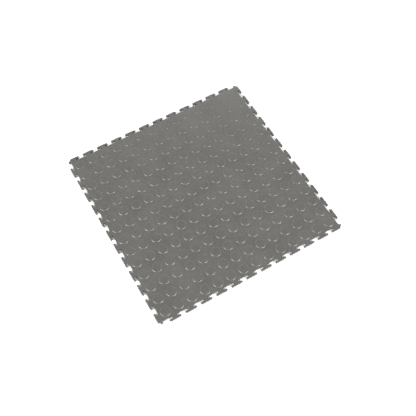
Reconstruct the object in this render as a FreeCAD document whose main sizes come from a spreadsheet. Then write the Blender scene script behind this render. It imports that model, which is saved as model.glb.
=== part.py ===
"""Interlocking PVC floor tile, moulded in one piece.

A square field carries round studs on its top face. T-shaped tabs stand out of each of its four
sides at an even pitch, so that the head of one tile's tab fills the slot between two tabs of the
next tile. Every side is the same, a quarter turn on: it starts with a corner tab, whose neck is
filled up to the corner, and it ends with an open slot. A small corner block beside each corner tab
fills a quarter of the square that is left where four laid tiles meet.

The origin is the centre of the underside, +Z is up, and the sides lie along X and Y.
Lengths are millimetres.
"""

import FreeCAD, Part
import math
import os

import Sketcher

# Driving sizes: alias, value and what it measures.
SIZES = (
    ("field_side", "490", "side of the square field, from slot floor to slot floor"),
    ("plate_thickness", "6", "underside to the face between the studs"),
    ("tabs_per_side", "12", "tabs on one side, the corner tab included"),
    ("slot_depth", "10", "gap between the fields of two laid tiles"),
    ("neck_width", "11.6", "width of a tab's neck"),
    ("joint_clearance", "0.2", "gap all round between a tab and the next tile"),
    ("corner_cut", "0.7", "how far the corners of heads and corner blocks are cut back"),
    ("studs_per_side", "14", "studs in one row, and rows of them"),
    ("stud_diameter", "26.1", "diameter of a stud where it leaves the plate"),
    ("stud_height", "1", "height of a stud above the plate"),
    ("stud_lean", "50", "lean of a stud's flank off upright, in degrees"),
)

# Sizes that follow from the driving ones, as expressions of the sheet.
HALF_FIELD = "Sizes.field_side / 2"
TAB_PITCH = "Sizes.field_side / Sizes.tabs_per_side"
CORNER_TAB_MIDDLE = f"{TAB_PITCH} / 4"
STUD_PITCH = "Sizes.field_side / Sizes.studs_per_side"
STUD_RADIUS = "Sizes.stud_diameter / 2"
NECK_HALF = "Sizes.neck_width / 2"
HEAD_HALF = f"({TAB_PITCH} - Sizes.neck_width) / 2 - Sizes.joint_clearance"
TAB_REACH = "Sizes.slot_depth - Sizes.joint_clearance"

# Two heads lie back to back between two fields, with a clearance before, between and behind.
HEAD_DEPTH = "(Sizes.slot_depth - 3 * Sizes.joint_clearance) / 2"
NECK_LENGTH = f"{TAB_REACH} - {HEAD_DEPTH}"

# A corner block ends half a clearance short of the middle of the square between four tiles.
BLOCK_SIDE = "(Sizes.slot_depth - Sizes.joint_clearance) / 2"

# A stud has this many sides in plan: it is repeated so often that a true circle would be heavy.
STUD_SIDES = 12

doc = FreeCAD.newDocument("InterlockingFloorTile")


def make_sheet():
    """Puts the driving sizes into the document's spreadsheet."""
    sheet = doc.addObject("Spreadsheet::Sheet", "Sizes")
    for row, (alias, value, meaning) in enumerate(SIZES, start=1):
        sheet.set(f"A{row}", alias)
        sheet.set(f"B{row}", value)
        sheet.set(f"C{row}", meaning)
        sheet.setAlias(f"B{row}", alias)
    doc.recompute()


make_sheet()
body = doc.addObject("PartDesign::Body", "FloorTile")
body.Label = "floor_tile"


def value_of(expression):
    """The present value of an expression of the sheet."""
    return float(body.evalExpression(expression))


def origin_feature(role):
    """The plane or axis of the body's origin that has this role."""
    return next(feature for feature in body.Origin.OriginFeatures if feature.Role == role)


def new_sketch(name, offset=()):
    """An empty sketch on the underside's plane, moved by expressions for X, Y and Z."""
    sketch = body.newObject("Sketcher::SketchObject", name)
    sketch.AttachmentSupport = [(origin_feature("XY_Plane"), "")]
    sketch.MapMode = "FlatFace"
    for axis, expression in zip("xyz", offset):
        sketch.setExpression(f"AttachmentOffset.Base.{axis}", expression)
    return sketch


def bind(sketch, kind, expression, *where):
    """Adds one dimension to a sketch and ties it to an expression of the sheet."""
    index = sketch.addConstraint(Sketcher.Constraint(kind, *where, value_of(expression)))
    sketch.setExpression(f"Constraints[{index}]", expression)


def draw_outline(sketch, corners):
    """Draws a closed outline of straight edges through corners given as pairs of expressions.

    An edge whose ends share an expression is held upright or level, and the other places are
    dimensions from the sketch's origin.
    """
    places = [FreeCAD.Vector(value_of(x), value_of(y), 0) for x, y in corners]
    following = places[1:] + places[:1]
    for start, end in zip(places, following):
        sketch.addGeometry(Part.LineSegment(start, end))
    for edge in range(len(corners)):
        after = (edge + 1) % len(corners)
        sketch.addConstraint(Sketcher.Constraint("Coincident", edge, 2, after, 1))
    for edge, (x, y) in enumerate(corners):
        x_before, y_before = corners[edge - 1] if edge else (None, None)
        if x == x_before:
            sketch.addConstraint(Sketcher.Constraint("Vertical", edge - 1))
        else:
            bind(sketch, "DistanceX", x, -1, 1, edge, 1)
        if y == y_before:
            sketch.addConstraint(Sketcher.Constraint("Horizontal", edge - 1))
        else:
            bind(sketch, "DistanceY", y, -1, 1, edge, 1)


def new_pad(name, sketch, height, lean="0", refine=True):
    """A pad of a sketch, with its height and the inward lean of its sides from expressions.

    Its faces are joined to those before it if it is refined.
    """
    pad = body.newObject("PartDesign::Pad", name)
    pad.Profile = sketch
    pad.Refine = refine
    pad.setExpression("Length", height)
    pad.setExpression("TaperAngle", f"-({lean})")
    sketch.Visibility = False
    doc.recompute()
    return pad


def row_of(name, direction, spacing, count):
    """A linear pattern along an axis, at the spacing and the count that expressions give."""
    pattern = body.newObject("PartDesign::LinearPattern", name)
    pattern.Direction = (origin_feature(direction), [""])
    pattern.Mode = "Spacing"
    pattern.setExpression("Offset", spacing)
    pattern.setExpression("Occurrences", count)
    return pattern


def four_sides(name):
    """A polar pattern that repeats a side's feature on all four sides."""
    pattern = body.newObject("PartDesign::PolarPattern", name)
    pattern.Axis = (origin_feature("Z_Axis"), [""])
    pattern.Angle = 360
    pattern.Occurrences = 4
    return pattern


def repeat(name, feature, patterns):
    """Repeats one feature by patterns, each of which repeats what the one before it gives.

    The pattern is refined as the feature is.
    """
    multiple = body.newObject("PartDesign::MultiTransform", name)
    multiple.Originals = [feature]
    multiple.Transformations = patterns
    multiple.Refine = feature.Refine
    body.Tip = multiple
    doc.recompute()


def half_tab(middle):
    """The right half of a tab's outline, from the field's edge round the head to its front."""
    return (
        (f"{middle}{NECK_HALF}", "0"),
        (f"{middle}{NECK_HALF}", NECK_LENGTH),
        (f"{middle}{HEAD_HALF} - Sizes.corner_cut", NECK_LENGTH),
        (f"{middle}{HEAD_HALF}", f"{NECK_LENGTH} + Sizes.corner_cut"),
        (f"{middle}{HEAD_HALF}", f"{TAB_REACH} - Sizes.corner_cut"),
        (f"{middle}{HEAD_HALF} - Sizes.corner_cut", TAB_REACH),
    )


def polygon_corners(middle_x, radius):
    """The corners of a stud's plan outline, with one edge upright at the right."""
    corners = []
    for index in range(STUD_SIDES):
        angle = math.radians((index - 0.5) * 360 / STUD_SIDES)
        x = middle_x + radius * math.cos(angle)
        corners.append(FreeCAD.Vector(x, radius * math.sin(angle), 0))
    return corners


def draw_stud_row(sketch, count):
    """Draws a row of stud outlines, the first of them round the sketch's origin.

    The first outline's corners lie on a circle. The edges of each of the others are parallel and
    equal to the first one's, and its place is a dimension.
    """
    radius = value_of(STUD_RADIUS)
    rules = []
    for number in range(count):
        corners = polygon_corners(number * value_of(STUD_PITCH), radius)
        first = number * STUD_SIDES
        for index, start in enumerate(corners):
            sketch.addGeometry(Part.LineSegment(start, corners[(index + 1) % STUD_SIDES]))
            after = first + (index + 1) % STUD_SIDES
            rules.append(Sketcher.Constraint("Coincident", first + index, 2, after, 1))
        if number:
            rules.append(Sketcher.Constraint("Horizontal", 0, 1, first, 1))
            for index in range(STUD_SIDES - 1):
                rules.append(Sketcher.Constraint("Equal", index, first + index))
                rules.append(Sketcher.Constraint("Parallel", index, first + index))
    guide = count * STUD_SIDES
    sketch.addGeometry(Part.Circle(FreeCAD.Vector(), FreeCAD.Vector(0, 0, 1), radius), True)
    rules.append(Sketcher.Constraint("Coincident", guide, 3, -1, 1))
    rules.append(Sketcher.Constraint("Vertical", 0))
    for index in range(STUD_SIDES):
        rules.append(Sketcher.Constraint("PointOnObject", index, 1, guide))
        if index:
            rules.append(Sketcher.Constraint("Equal", 0, index))
    sketch.addConstraint(rules)
    bind(sketch, "Radius", STUD_RADIUS, guide)
    for number in range(1, count):
        first = number * STUD_SIDES
        bind(sketch, "DistanceX", f"{STUD_PITCH} * {number}", 0, 1, first, 1)


# The field.
field_sketch = new_sketch("FieldSketch")
draw_outline(
    field_sketch,
    (
        (f"-{HALF_FIELD}", f"-{HALF_FIELD}"),
        (HALF_FIELD, f"-{HALF_FIELD}"),
        (HALF_FIELD, HALF_FIELD),
        (f"-{HALF_FIELD}", HALF_FIELD),
    ),
)
new_pad("Field", field_sketch, "Sizes.plate_thickness")

# The second tab of a side, measured from its own middle and the field's edge.
tab_sketch = new_sketch("TabSketch", (f"{CORNER_TAB_MIDDLE} + {TAB_PITCH} - {HALF_FIELD}", HALF_FIELD))
right_half = half_tab("")
left_half = tuple((f"-({x})", y) for x, y in reversed(right_half))
draw_outline(tab_sketch, right_half + left_half)
tab = new_pad("Tab", tab_sketch, "Sizes.plate_thickness")
tab_row = row_of("TabRow", "X_Axis", TAB_PITCH, "Sizes.tabs_per_side - 1")
repeat("Tabs", tab, [tab_row, four_sides("TabSides")])

# The corner tab, measured from the field's corner, with the corner block beyond it.
corner_sketch = new_sketch("CornerTabSketch", (f"-{HALF_FIELD}", HALF_FIELD))
corner_block = (
    ("Sizes.joint_clearance", TAB_REACH),
    ("Sizes.joint_clearance", BLOCK_SIDE),
    (f"Sizes.corner_cut - {BLOCK_SIDE}", BLOCK_SIDE),
    (f"-({BLOCK_SIDE})", f"{BLOCK_SIDE} - Sizes.corner_cut"),
    (f"-({BLOCK_SIDE})", "Sizes.corner_cut"),
    (f"Sizes.corner_cut - {BLOCK_SIDE}", "0"),
)
draw_outline(corner_sketch, half_tab(f"{CORNER_TAB_MIDDLE} + ") + corner_block)
corner_tab = new_pad("CornerTab", corner_sketch, "Sizes.plate_thickness")
repeat("CornerTabs", corner_tab, [four_sides("CornerSides")])

# The first row of studs, at low Y, and the rows that repeat it.
FIRST_STUD = f"{STUD_PITCH} / 2 - {HALF_FIELD}"
stud_sketch = new_sketch("StudSketch", (FIRST_STUD, FIRST_STUD, "Sizes.plate_thickness"))
draw_stud_row(stud_sketch, round(value_of("Sizes.studs_per_side")))
studs = new_pad("Studs", stud_sketch, "Sizes.stud_height", "Sizes.stud_lean", refine=False)
repeat("StudRows", studs, [row_of("StudSpacing", "Y_Axis", STUD_PITCH, "Sizes.studs_per_side")])


def check_document():
    """Stops the build if an object of the document failed."""
    for item in doc.Objects:
        troubles = [state for state in item.State if state in ("Invalid", "Error")]
        if troubles:
            raise RuntimeError(f"{item.Name} is {troubles}")


check_document()
tile = body.Shape
if tile.isNull() or not tile.isValid():
    raise RuntimeError("the tile has no valid shape")
os.makedirs("parts", exist_ok=True)
tile.exportStep(f"parts/{body.Label}.step")

box = tile.BoundBox
print(f"{body.Label}: {box.XLength:.2f} x {box.YLength:.2f} x {box.ZLength:.2f} mm")
print(f"volume {tile.Volume:.0f} cubic mm, {tile.countElement('Face')} faces")
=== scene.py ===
"""The looks of an interlocking PVC floor tile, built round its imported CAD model.

One moulded piece replaces the plain CAD solid: a square field with round studs, and T-shaped tabs
on all four sides. It lies on a pale studio floor among three softboxes.
"""

import logging
import math
from dataclasses import dataclass, field
from enum import Enum, IntEnum

import bmesh
import bpy
from mathutils import Matrix, Vector

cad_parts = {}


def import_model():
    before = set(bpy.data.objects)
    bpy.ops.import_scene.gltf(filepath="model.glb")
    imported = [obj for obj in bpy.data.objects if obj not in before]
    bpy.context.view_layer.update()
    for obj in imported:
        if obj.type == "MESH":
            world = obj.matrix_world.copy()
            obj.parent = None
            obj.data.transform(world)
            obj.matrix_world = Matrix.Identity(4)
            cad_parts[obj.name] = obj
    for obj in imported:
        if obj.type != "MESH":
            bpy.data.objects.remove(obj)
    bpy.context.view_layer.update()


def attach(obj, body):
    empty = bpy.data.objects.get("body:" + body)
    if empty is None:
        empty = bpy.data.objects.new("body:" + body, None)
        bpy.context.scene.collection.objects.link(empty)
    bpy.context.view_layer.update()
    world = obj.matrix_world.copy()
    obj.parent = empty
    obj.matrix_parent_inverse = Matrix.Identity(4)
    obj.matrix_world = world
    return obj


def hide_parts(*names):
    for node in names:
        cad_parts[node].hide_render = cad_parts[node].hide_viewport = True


LOG = logging.getLogger("floor_tile_scene")

MM = 0.001
NEAR = 1e-6
UP = Vector((0, 0, 1))
TILE_SIDES = 4
CORNER_LAYER = "finish"


class Corner(IntEnum):
    """How a corner of the tile's plan outline is finished."""

    HEAD = 1
    ROOT = 2


class Side(Enum):
    """Where a softbox stands, as its turn about the tile from the camera in degrees."""

    LEFT = -54
    RIGHT = 54
    BACK = 180


def linear(colour: str) -> tuple[float, float, float, float]:
    """Turns an sRGB hex colour into a linear one by the sRGB standard's curve.

    Args:
        colour: Six hex digits after a hash sign.

    Returns:
        Red, green, blue and an alpha of one.
    """
    parts = [int(colour[start:start + 2], 16) / 255 for start in (1, 3, 5)]
    red, green, blue = (
        part / 12.92 if part <= 0.04045 else ((part + 0.055) / 1.055) ** 2.4 for part in parts
    )
    return red, green, blue, 1.0


def add_node(
    tree: bpy.types.NodeTree,
    kind: str,
    options: dict[str, object] | None = None,
    values: dict[str | int, object] | None = None,
    links: dict[str | int, bpy.types.NodeSocket] | None = None,
) -> bpy.types.Node:
    """Adds one node to a material, with its settings and what feeds it.

    Args:
        tree: The material's node tree.
        kind: The node's type.
        options: The node's own properties.
        values: Input sockets' values by name, or by number where names repeat.
        links: Input sockets' sources in the same way.

    Returns:
        The new node.
    """
    node = tree.nodes.new(kind)
    for name, option in (options or {}).items():
        setattr(node, name, option)
    for socket, value in (values or {}).items():
        node.inputs[socket].default_value = value
    for socket, source in (links or {}).items():
        tree.links.new(source, node.inputs[socket])
    return node


def lies_at(item: bmesh.types.BMEdge | bmesh.types.BMFace, level: float) -> bool:
    """Tells whether an edge or a face lies flat at a height.

    Args:
        item: The edge or face.
        level: The height in metres.

    Returns:
        Whether all its vertices are at that height.
    """
    return all(abs(vertex.co.z - level) < NEAR for vertex in item.verts)


def round_edges(
    bm: bmesh.types.BMesh, edges: list[bmesh.types.BMEdge], radius: float, segments: int
) -> None:
    """Rounds edges.

    Args:
        bm: The mesh that holds the edges.
        edges: The edges to round.
        radius: How far the rounding reaches from each edge, in millimetres.
        segments: How many strips the rounding is made of.
    """
    bmesh.ops.bevel(
        bm,
        geom=edges,
        offset=radius * MM,
        offset_type="OFFSET",
        segments=segments,
        profile=0.5,
        affect="EDGES",
        material=-1,
    )


@dataclass(frozen=True)
class MouldedPvc:
    """Flexible PVC, injection moulded: a dull grey with a satin grain from the tool's face."""

    name: str = "moulded flexible PVC"
    grey: str = "#4b4a47"
    flow_grey: str = "#545350"
    # A painted highlight: the lighter grey given to the studs' flanks.
    flank_highlight_grey: str = "#5b5956"
    roughness: float = 0.33
    roughness_spread: float = 0.10
    rubbed_gloss: float = 0.17
    foot_fade_mm: tuple[float, float] = (0.02, 0.15)
    shoulder_fade_mm: tuple[float, float] = (0.01, 0.08)
    ior: float = 1.53
    flow_mm: float = 60.0
    mottle_mm: float = 4.0
    mottle_span: tuple[float, float] = (0.3, 0.7)
    blend_span: tuple[float, float] = (0.75, 1.25)
    grain_mm: float = 0.9
    grain_height_mm: float = 0.02

    def material(self, plate_mm: float, stud_mm: float) -> bpy.types.Material:
        """Builds the finish from noise and height on Object coordinates.

        Args:
            plate_mm: The level of the studs' feet.
            stud_mm: The height of a stud.

        Returns:
            The material.
        """
        material = bpy.data.materials.new(self.name)
        material.use_nodes = True
        tree = material.node_tree
        tree.nodes.clear()
        place = add_node(tree, "ShaderNodeTexCoord").outputs["Object"]
        # Broad clouds are left where the melt flowed through the tool.
        flow = add_node(
            tree,
            "ShaderNodeTexNoise",
            values={"Scale": 1 / (self.flow_mm * MM), "Detail": 2.0, "Roughness": 0.5},
            links={"Vector": place},
        )
        # A fine mottle breaks up the satin.
        mottle = add_node(
            tree,
            "ShaderNodeTexNoise",
            values={"Scale": 1 / (self.mottle_mm * MM), "Detail": 4.0, "Roughness": 0.6},
            links={"Vector": place},
        )
        blend = add_node(
            tree,
            "ShaderNodeMath",
            options={"operation": "ADD"},
            links={0: flow.outputs["Fac"], 1: mottle.outputs["Fac"]},
        )
        # Noise seldom leaves the middle of its range, so a span of it is stretched to the whole.
        spread = add_node(
            tree,
            "ShaderNodeMapRange",
            values={"From Min": self.blend_span[0], "From Max": self.blend_span[1]},
            links={"Value": blend.outputs["Value"]},
        )
        colour = add_node(
            tree,
            "ShaderNodeMix",
            options={"data_type": "RGBA"},
            values={6: linear(self.grey), 7: linear(self.flow_grey)},
            links={"Factor": spread.outputs["Result"]},
        )
        # The studs' flanks are painted lighter all round, a painted highlight; boots and wheels
        # rub them glossier than the tops and the plate.
        height = add_node(tree, "ShaderNodeSeparateXYZ", links={"Vector": place}).outputs["Z"]
        foot_start, foot_end = ((plate_mm + fade) * MM for fade in self.foot_fade_mm)
        top_mm = plate_mm + stud_mm
        shoulder_end, shoulder_start = ((top_mm - fade) * MM for fade in self.shoulder_fade_mm)
        foot = add_node(
            tree,
            "ShaderNodeMapRange",
            values={"From Min": foot_start, "From Max": foot_end},
            links={"Value": height},
        )
        shoulder = add_node(
            tree,
            "ShaderNodeMapRange",
            values={"From Min": shoulder_end, "From Max": shoulder_start},
            links={"Value": height},
        )
        flank = add_node(
            tree,
            "ShaderNodeMath",
            options={"operation": "MULTIPLY"},
            links={0: foot.outputs["Result"], 1: shoulder.outputs["Result"]},
        )
        # The flanks take the lighter grey as a painted highlight.
        flank_highlight = add_node(
            tree,
            "ShaderNodeMix",
            options={"data_type": "RGBA"},
            values={7: linear(self.flank_highlight_grey)},
            links={"Factor": flank.outputs["Value"], 6: colour.outputs[2]},
        )
        gloss = add_node(
            tree,
            "ShaderNodeMapRange",
            values={
                "From Min": self.mottle_span[0],
                "From Max": self.mottle_span[1],
                "To Min": self.roughness - self.roughness_spread / 2,
                "To Max": self.roughness + self.roughness_spread / 2,
            },
            links={"Value": mottle.outputs["Fac"]},
        )
        rubbed_roughness = add_node(
            tree,
            "ShaderNodeMath",
            options={"operation": "MULTIPLY_ADD"},
            values={1: -self.rubbed_gloss},
            links={0: flank.outputs["Value"], 2: gloss.outputs["Result"]},
        )
        # The tool's eroded grain is about a third of a millimetre: drawn coarser, so it shows.
        grain = add_node(
            tree,
            "ShaderNodeTexNoise",
            values={"Scale": 1 / (self.grain_mm * MM), "Detail": 3.0, "Roughness": 0.7},
            links={"Vector": place},
        )
        relief = add_node(
            tree,
            "ShaderNodeBump",
            values={"Strength": 1.0, "Distance": self.grain_height_mm * MM},
            links={"Height": grain.outputs["Fac"]},
        )
        shader = add_node(
            tree,
            "ShaderNodeBsdfPrincipled",
            values={"IOR": self.ior},
            links={
                "Base Color": flank_highlight.outputs[2],
                "Roughness": rubbed_roughness.outputs["Value"],
                "Normal": relief.outputs["Normal"],
            },
        )
        add_node(
            tree,
            "ShaderNodeOutputMaterial",
            links={"Surface": shader.outputs["BSDF"]},
        )
        return material


@dataclass(frozen=True)
class StudioPaper:
    """Seamless white background paper: dead matt, with hardly any tooth."""

    name: str = "white background paper"
    white: str = "#f6f6f6"
    roughness: float = 0.95

    def material(self) -> bpy.types.Material:
        """Builds the finish.

        Returns:
            The material.
        """
        material = bpy.data.materials.new(self.name)
        material.use_nodes = True
        shader = material.node_tree.nodes["Principled BSDF"]
        shader.inputs["Base Color"].default_value = linear(self.white)
        shader.inputs["Roughness"].default_value = self.roughness
        shader.inputs["Specular IOR Level"].default_value = 0.0
        return material


@dataclass
class LockingEdge:
    """The tabs and slots round the tile, in plan, with lengths in millimetres."""

    field_side: float = 490.0
    tabs_per_side: int = 12
    slot_depth: float = 10.0
    neck_width: float = 11.6
    clearance: float = 0.2
    head_radius: float = 1.2
    head_segments: int = 4
    root_radius: float = 0.8
    root_segments: int = 3

    @property
    def pitch(self) -> float:
        """The distance from tab to tab."""
        return self.field_side / self.tabs_per_side

    @property
    def neck_half(self) -> float:
        """Half a neck's width."""
        return self.neck_width / 2

    @property
    def head_half(self) -> float:
        """Half a head's width."""
        return (self.pitch - self.neck_width) / 2 - self.clearance

    @property
    def reach(self) -> float:
        """How far a tab stands out of the field."""
        return self.slot_depth - self.clearance

    @property
    def neck_length(self) -> float:
        """How far a head's back lies out of the field."""
        return self.reach - (self.slot_depth - 3 * self.clearance) / 2

    def add_chain(
        self, bm: bmesh.types.BMesh, places: tuple[tuple[float, float, Corner], ...]
    ) -> list[bmesh.types.BMVert]:
        """Draws joined edges through places measured from the middle of the back edge.

        Args:
            bm: The mesh to draw in.
            places: Each place along the edge and out of it, and how its corner is finished.

        Returns:
            The vertices in order.
        """
        finish = bm.verts.layers.int[CORNER_LAYER]
        chain = []
        for along, out, corner in places:
            vertex = bm.verts.new((along * MM, (self.field_side / 2 + out) * MM, 0))
            vertex[finish] = int(corner)
            chain.append(vertex)
        for start, end in zip(chain, chain[1:]):
            bm.edges.new((start, end))
        return chain

    def copy_chain(
        self, bm: bmesh.types.BMesh, chain: list[bmesh.types.BMVert], move: Matrix
    ) -> list[bmesh.types.BMVert]:
        """Copies a chain and moves the copy.

        Args:
            bm: The mesh that holds the chain.
            chain: The chain's vertices in order.
            move: Where the copy goes, from where the chain is.

        Returns:
            The copy's vertices in order.
        """
        inner = (
            edge
            for vertex in chain
            for edge in vertex.link_edges
            if edge.other_vert(vertex) in chain
        )
        # The keys of a dict are each edge once, in a fixed order.
        edges = list(dict.fromkeys(inner))
        twins = bmesh.ops.duplicate(bm, geom=chain + edges)["vert_map"]
        copy = [twins[vertex] for vertex in chain]
        bmesh.ops.transform(bm, matrix=move, verts=copy)
        return copy

    def join_chains(
        self,
        bm: bmesh.types.BMesh,
        chain: list[bmesh.types.BMVert],
        more: list[bmesh.types.BMVert],
    ) -> None:
        """Draws an edge from one chain's end to another's start and makes them one.

        Args:
            bm: The mesh that holds both.
            chain: The first chain, which grows by the other.
            more: The other chain.
        """
        bm.edges.new((chain[-1], more[0]))
        chain += more

    def draw_outline(self, bm: bmesh.types.BMesh) -> bmesh.types.BMFace:
        """Draws the whole plan outline as one face at the underside.

        Args:
            bm: An empty mesh.

        Returns:
            The face.
        """
        bm.verts.layers.int.new(CORNER_LAYER)
        start = -self.field_side / 2
        first = start + self.pitch / 4
        block = (self.slot_depth - self.clearance) / 2
        right_half = (
            (self.head_half, self.reach, Corner.HEAD),
            (self.head_half, self.neck_length, Corner.HEAD),
            (self.neck_half, self.neck_length, Corner.ROOT),
            (self.neck_half, 0.0, Corner.ROOT),
        )
        left_half = tuple((-along, out, corner) for along, out, corner in reversed(right_half))
        corner_block = (
            (start, 0.0, Corner.ROOT),
            (start - block, 0.0, Corner.HEAD),
            (start - block, block, Corner.HEAD),
            (start + self.clearance, block, Corner.ROOT),
            (start + self.clearance, self.reach, Corner.HEAD),
        )
        corner_tab = corner_block + tuple(
            (first + along, out, kind) for along, out, kind in right_half
        )
        side = self.add_chain(bm, corner_tab)
        second = first + self.pitch
        tab = self.add_chain(
            bm, tuple((second + along, out, kind) for along, out, kind in left_half + right_half)
        )
        self.join_chains(bm, side, tab)
        step = Matrix.Translation((self.pitch * MM, 0, 0))
        for _ in range(self.tabs_per_side - 2):
            tab = self.copy_chain(bm, tab, step)
            self.join_chains(bm, side, tab)
        # Every side is the same, a quarter turn on.
        quarter = Matrix.Rotation(math.radians(-90), 4, "Z")
        loop = list(side)
        for _ in range(TILE_SIDES - 1):
            side = self.copy_chain(bm, side, quarter)
            self.join_chains(bm, loop, side)
        bm.edges.new((loop[-1], loop[0]))
        bmesh.ops.edgeloop_fill(bm, edges=bm.edges[:])
        bm.faces.ensure_lookup_table()
        return bm.faces[0]

    def round_corners(self, bm: bmesh.types.BMesh) -> None:
        """Rounds the upright edges of heads, slots and corner blocks.

        Args:
            bm: The mesh with the outline drawn up to its height.
        """
        finish = bm.verts.layers.int[CORNER_LAYER]
        radii = (
            (Corner.HEAD, self.head_radius, self.head_segments),
            (Corner.ROOT, self.root_radius, self.root_segments),
        )
        upright = {corner: [] for corner in Corner}
        for edge in bm.edges:
            low, high = edge.verts
            if abs(low.co.z - high.co.z) > NEAR:
                upright[Corner(low[finish])].append(edge)
        for corner, radius, segments in radii:
            round_edges(bm, upright[corner], radius, segments)


@dataclass
class Stud:
    """One round stud of the tread, with lengths in millimetres and the flank's lean in degrees."""

    foot_radius: float = 13.05
    height: float = 1.0
    flank_lean: float = 50.0
    shoulder: float = 0.55
    shoulder_segments: int = 2
    sides: int = 24

    @property
    def top_radius(self) -> float:
        """The radius at the top, where the flank would meet it without its shoulder."""
        return self.foot_radius - self.height * math.tan(math.radians(self.flank_lean))

    def shape(self) -> bpy.types.Mesh:
        """Turns a disc into a stud with a rounded shoulder and no bottom.

        Returns:
            The stud's mesh, standing on the origin.
        """
        bm = bmesh.new()
        bmesh.ops.create_circle(
            bm, cap_ends=True, segments=self.sides, radius=self.foot_radius * MM
        )
        raised = bmesh.ops.extrude_face_region(bm, geom=bm.faces[:])["geom"]
        top = [item for item in raised if isinstance(item, bmesh.types.BMVert)]
        shrink = self.top_radius / self.foot_radius
        bmesh.ops.scale(bm, vec=(shrink, shrink, 1), verts=top)
        bmesh.ops.translate(bm, vec=(0, 0, self.height * MM), verts=top)
        rim = [edge for edge in bm.edges if lies_at(edge, self.height * MM)]
        round_edges(bm, rim, self.shoulder, self.shoulder_segments)
        bottom = [face for face in bm.faces if lies_at(face, 0.0)]
        bmesh.ops.delete(bm, geom=bottom, context="FACES_ONLY")
        mesh = bpy.data.meshes.new("stud")
        bm.to_mesh(mesh)
        bm.free()
        return mesh


@dataclass
class FloorTile:
    """The whole moulding: plate, locking edge and tread of studs, with lengths in millimetres.

    Edges that turn by more degrees than the crease stay sharp in the shading.
    """

    edge: LockingEdge = field(default_factory=LockingEdge)
    stud: Stud = field(default_factory=Stud)
    finish: MouldedPvc = field(default_factory=MouldedPvc)
    plate_thickness: float = 6.0
    studs_per_side: int = 14
    top_radius: float = 0.45
    top_segments: int = 3
    underside_radius: float = 0.3
    underside_segments: int = 1
    crease: float = 32.0

    def raise_plate(self, bm: bmesh.types.BMesh) -> None:
        """Draws the outline up to the plate's top and eases its rims.

        Args:
            bm: An empty mesh.
        """
        face = self.edge.draw_outline(bm)
        raised = bmesh.ops.extrude_face_region(bm, geom=[face])["geom"]
        top = [item for item in raised if isinstance(item, bmesh.types.BMVert)]
        bmesh.ops.translate(bm, vec=(0, 0, self.plate_thickness * MM), verts=top)
        bmesh.ops.recalc_face_normals(bm, faces=bm.faces[:])
        self.edge.round_corners(bm)
        rims = (
            (self.plate_thickness * MM, self.top_radius, self.top_segments),
            (0.0, self.underside_radius, self.underside_segments),
        )
        for level, radius, segments in rims:
            rim = [edge for edge in bm.edges if lies_at(edge, level)]
            round_edges(bm, rim, radius, segments)

    def stand_studs(self, bm: bmesh.types.BMesh) -> None:
        """Stands the studs on the plate in rows and joins their feet to its top face.

        Args:
            bm: The plate's mesh.
        """
        level = self.plate_thickness * MM
        top = [face for face in bm.faces if lies_at(face, level)]
        bmesh.ops.delete(bm, geom=top, context="FACES_ONLY")
        before = set(bm.verts)
        stud = self.stud.shape()
        bm.from_mesh(stud)
        bpy.data.meshes.remove(stud)
        first = [vertex for vertex in bm.verts if vertex not in before]
        spacing = self.edge.field_side / self.studs_per_side
        corner = (spacing - self.edge.field_side) / 2 * MM
        bmesh.ops.translate(bm, vec=(corner, corner, level), verts=first)
        row = self.repeat(bm, first, Vector((spacing * MM, 0, 0)))
        self.repeat(bm, row, Vector((0, spacing * MM, 0)))
        open_edges = [edge for edge in bm.edges if edge.is_boundary and lies_at(edge, level)]
        bmesh.ops.triangle_fill(bm, use_beauty=True, edges=open_edges, normal=UP)

    def repeat(
        self, bm: bmesh.types.BMesh, verts: list[bmesh.types.BMVert], step: Vector
    ) -> list[bmesh.types.BMVert]:
        """Copies a shape along a line, as often as there are studs in a row.

        Args:
            bm: The mesh that holds the shape.
            verts: The shape's vertices.
            step: The way from one copy to the next.

        Returns:
            The vertices of the shape and all its copies.
        """
        every = list(verts)
        faces = list(dict.fromkeys(face for vertex in verts for face in vertex.link_faces))
        for number in range(1, self.studs_per_side):
            copied = bmesh.ops.duplicate(bm, geom=faces)["geom"]
            copy = [item for item in copied if isinstance(item, bmesh.types.BMVert)]
            bmesh.ops.translate(bm, vec=step * number, verts=copy)
            every += copy
        return every

    def build(self) -> bpy.types.Object:
        """Models and dresses the moulding.

        Returns:
            The tile, in the part's own frame.
        """
        bm = bmesh.new()
        self.raise_plate(bm)
        self.stand_studs(bm)
        bmesh.ops.recalc_face_normals(bm, faces=bm.faces[:])
        for face in bm.faces:
            face.smooth = True
        open_edges = sum(1 for edge in bm.edges if not edge.is_manifold)
        mesh = bpy.data.meshes.new("moulded_tile")
        bm.to_mesh(mesh)
        bm.free()
        mesh.set_sharp_from_angle(angle=math.radians(self.crease))
        mesh.materials.append(self.finish.material(self.plate_thickness, self.stud.height))
        tile = bpy.data.objects.new("moulded_tile", mesh)
        bpy.context.scene.collection.objects.link(tile)
        weighted = tile.modifiers.new("weighted normals", "WEIGHTED_NORMAL")
        weighted.keep_sharp = True
        LOG.info("moulded_tile: %d faces, %d open edges", len(mesh.polygons), open_edges)
        return tile


@dataclass(frozen=True)
class Softbox:
    """A lamp behind white cloth that faces the tile: lengths in metres, rise in degrees, watts."""

    side: Side
    rise: float
    distance: float
    width: float
    height: float
    power: float

    def stand(self, camera_turn: float) -> None:
        """Stands the softbox in the scene.

        Args:
            camera_turn: The camera's turn about the tile in radians.
        """
        name = f"softbox {self.side.name.lower()}"
        data = bpy.data.lights.new(name, "AREA")
        data.shape = "RECTANGLE"
        data.size = self.width
        data.size_y = self.height
        data.energy = self.power
        light = bpy.data.objects.new(name, data)
        turn = camera_turn + math.radians(self.side.value)
        rise = math.radians(self.rise)
        level = math.cos(rise)
        way = Vector((math.cos(turn) * level, math.sin(turn) * level, math.sin(rise)))
        aim = way.to_track_quat("Z", "Y").to_matrix().to_4x4()
        light.matrix_world = Matrix.Translation(way * self.distance) @ aim
        bpy.context.scene.collection.objects.link(light)


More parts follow.
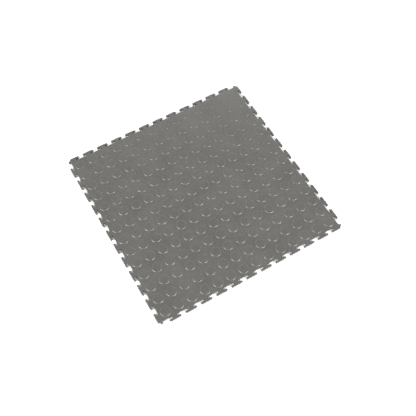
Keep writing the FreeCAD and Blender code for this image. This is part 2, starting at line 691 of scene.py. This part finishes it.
@dataclass
class Studio:
    """The floor, the lights and the camera round the tile.

    Places and sizes are in metres, the camera's roll in degrees, and its lens and sensor in
    millimetres.
    """

    paper: StudioPaper = field(default_factory=StudioPaper)
    floor_side: float = 12.0
    camera_place: tuple[float, float, float] = (-0.4132, -0.7092, 1.4282)
    camera_aim: tuple[float, float, float] = (-0.0064, -0.0427, 0.0)
    camera_roll: float = 1.14
    camera_lens: float = 56.74
    camera_sensor: float = 36.0
    softboxes: tuple[Softbox, ...] = (
        Softbox(Side.LEFT, 35.0, 2.0, width=1.45, height=0.85, power=40.0),
        Softbox(Side.RIGHT, 36.0, 2.0, width=1.45, height=0.85, power=41.0),
        Softbox(Side.BACK, 34.0, 2.6, width=3.2, height=1.1, power=30.0),
    )
    wall_strength: float = 1.2
    ceiling_strength: float = 0.55
    wall_top: float = 0.35
    ceiling_start: float = 0.75

    def lay_floor(self) -> bpy.types.Object:
        """Lays the paper that the tile rests on.

        Returns:
            The floor.
        """
        bm = bmesh.new()
        bmesh.ops.create_grid(bm, x_segments=1, y_segments=1, size=self.floor_side / 2)
        mesh = bpy.data.meshes.new("studio_floor")
        bm.to_mesh(mesh)
        bm.free()
        mesh.materials.append(self.paper.material())
        floor = bpy.data.objects.new("studio_floor", mesh)
        bpy.context.scene.collection.objects.link(floor)
        return floor

    def place_camera(self) -> None:
        """Puts the camera where the photograph was taken from."""
        data = bpy.data.cameras.new("camera")
        data.lens = self.camera_lens
        data.sensor_width = self.camera_sensor
        camera = bpy.data.objects.new("camera", data)
        place = Vector(self.camera_place)
        ahead = (Vector(self.camera_aim) - place).normalized()
        level = ahead.to_track_quat("-Z", "Y").to_matrix().to_4x4()
        roll = Matrix.Rotation(math.radians(self.camera_roll), 4, "Z")
        camera.matrix_world = Matrix.Translation(place) @ level @ roll
        bpy.context.scene.collection.objects.link(camera)
        bpy.context.scene.camera = camera

    def light_room(self) -> None:
        """Lights the room softly: white walls all round under a dimmer ceiling."""
        world = bpy.data.worlds.new("studio room")
        world.use_nodes = True
        tree = world.node_tree
        tree.nodes.clear()
        way = add_node(tree, "ShaderNodeTexCoord").outputs["Generated"]
        height = add_node(tree, "ShaderNodeSeparateXYZ", links={"Vector": way}).outputs["Z"]
        strength = add_node(
            tree,
            "ShaderNodeMapRange",
            options={"interpolation_type": "SMOOTHSTEP"},
            values={
                "From Min": self.wall_top,
                "From Max": self.ceiling_start,
                "To Min": self.wall_strength,
                "To Max": self.ceiling_strength,
            },
            links={"Value": height},
        )
        background = add_node(
            tree, "ShaderNodeBackground", links={"Strength": strength.outputs["Result"]}
        )
        add_node(
            tree, "ShaderNodeOutputWorld", links={"Surface": background.outputs["Background"]}
        )
        bpy.context.scene.world = world

    def build(self) -> bpy.types.Object:
        """Sets up the studio.

        Returns:
            The floor.
        """
        self.place_camera()
        self.light_room()
        camera_turn = math.atan2(self.camera_place[1], self.camera_place[0])
        for softbox in self.softboxes:
            softbox.stand(camera_turn)
        bpy.context.scene.view_settings.view_transform = "Standard"
        return self.lay_floor()


def main() -> None:
    """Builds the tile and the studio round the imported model."""
    logging.basicConfig(level=logging.INFO, format="%(name)s: %(message)s")
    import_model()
    tile = FloorTile().build()
    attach(tile, "root")
    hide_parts("floor_tile")
    floor = Studio().build()
    LOG.info("%s: staged", floor.name)


if __name__ == "__main__":
    main()
